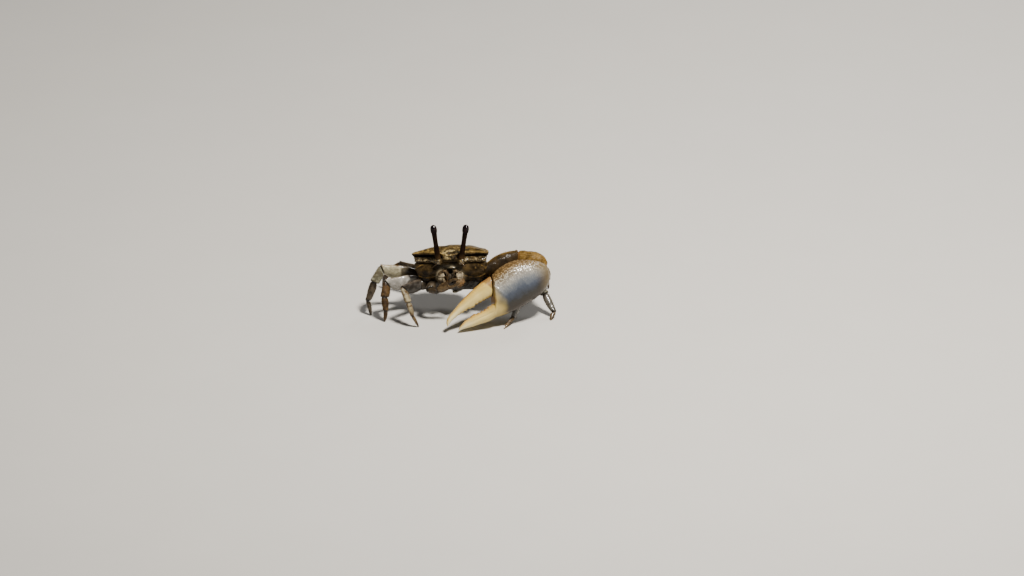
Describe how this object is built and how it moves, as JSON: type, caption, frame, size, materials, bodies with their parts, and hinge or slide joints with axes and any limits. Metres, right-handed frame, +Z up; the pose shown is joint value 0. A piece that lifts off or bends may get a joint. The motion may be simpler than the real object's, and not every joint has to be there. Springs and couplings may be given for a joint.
{
  "type": "fiddler crab",
  "caption": "Male fiddler crab standing on its walking legs, eyestalks raised, its one huge claw folded in front of the face and the small claw at its mouth.",
  "frame": {"origin": "middle of the bounding box's base, on the floor under the crab", "axes": "+Z up, -Y the way that the crab faces, +X towards its left side, where the big claw is; X is the longest extent"},
  "size_m": [0.0558, 0.0378, 0.0292],
  "materials": {
    "carapace_shell": "wet, finely granular shell, dark brown marbled with tan and pale yellow",
    "claw_shell": "finely granular shell, blue-grey with a tan-brown upper margin",
    "finger_shell": "smooth cream shell with an orange-brown upper edge and a white tip",
    "arm_shell": "granular shell, golden tan to brown",
    "leg_shell": "thin glossy shell, grey-beige with cream and brown patches",
    "mouth_shell": "smooth pale shell",
    "eyestalk_skin": "smooth dark brown skin",
    "eye_cornea": "glossy black cornea"
  },
  "bodies": {
    "root": {"carapace": "carapace_shell", "sternum": "leg_shell", "abdomen": "leg_shell", "big_claw_palm": "claw_shell", "big_claw_finger": "finger_shell", "big_claw_merus": "arm_shell", "big_claw_carpus": "arm_shell", "small_claw_merus": "arm_shell", "small_claw_carpus": "arm_shell", "small_claw_palm": "arm_shell", "small_claw_finger": "mouth_shell", "maxilliped_right": "mouth_shell", "maxilliped_left": "mouth_shell", "antenna_right": "leg_shell", "antenna_left": "leg_shell", "eyestalk_right": "eyestalk_skin", "eyestalk_left": "eyestalk_skin", "eye_right": "eye_cornea", "eye_left": "eye_cornea", "leg_right_1_merus": "leg_shell", "leg_right_1_carpus": "leg_shell", "leg_right_1_propodus": "leg_shell", "leg_right_1_dactyl": "leg_shell", "leg_right_2_merus": "leg_shell", "leg_right_2_carpus": "leg_shell", "leg_right_2_propodus": "leg_shell", "leg_right_2_dactyl": "leg_shell", "leg_right_3_merus": "leg_shell", "leg_right_3_carpus": "leg_shell", "leg_right_3_propodus": "leg_shell", "leg_right_3_dactyl": "leg_shell", "leg_right_4_merus": "leg_shell", "leg_right_4_carpus": "leg_shell", "leg_right_4_propodus": "leg_shell", "leg_right_4_dactyl": "leg_shell", "leg_left_1_merus": "leg_shell", "leg_left_1_carpus": "leg_shell", "leg_left_1_propodus": "leg_shell", "leg_left_1_dactyl": "leg_shell", "leg_left_2_merus": "leg_shell", "leg_left_2_carpus": "leg_shell", "leg_left_2_propodus": "leg_shell", "leg_left_2_dactyl": "leg_shell", "leg_left_3_merus": "leg_shell", "leg_left_3_carpus": "leg_shell", "leg_left_3_propodus": "leg_shell", "leg_left_3_dactyl": "leg_shell", "leg_left_4_merus": "leg_shell", "leg_left_4_carpus": "leg_shell", "leg_left_4_propodus": "leg_shell", "leg_left_4_dactyl": "leg_shell"}
  },
  "joints": []
}
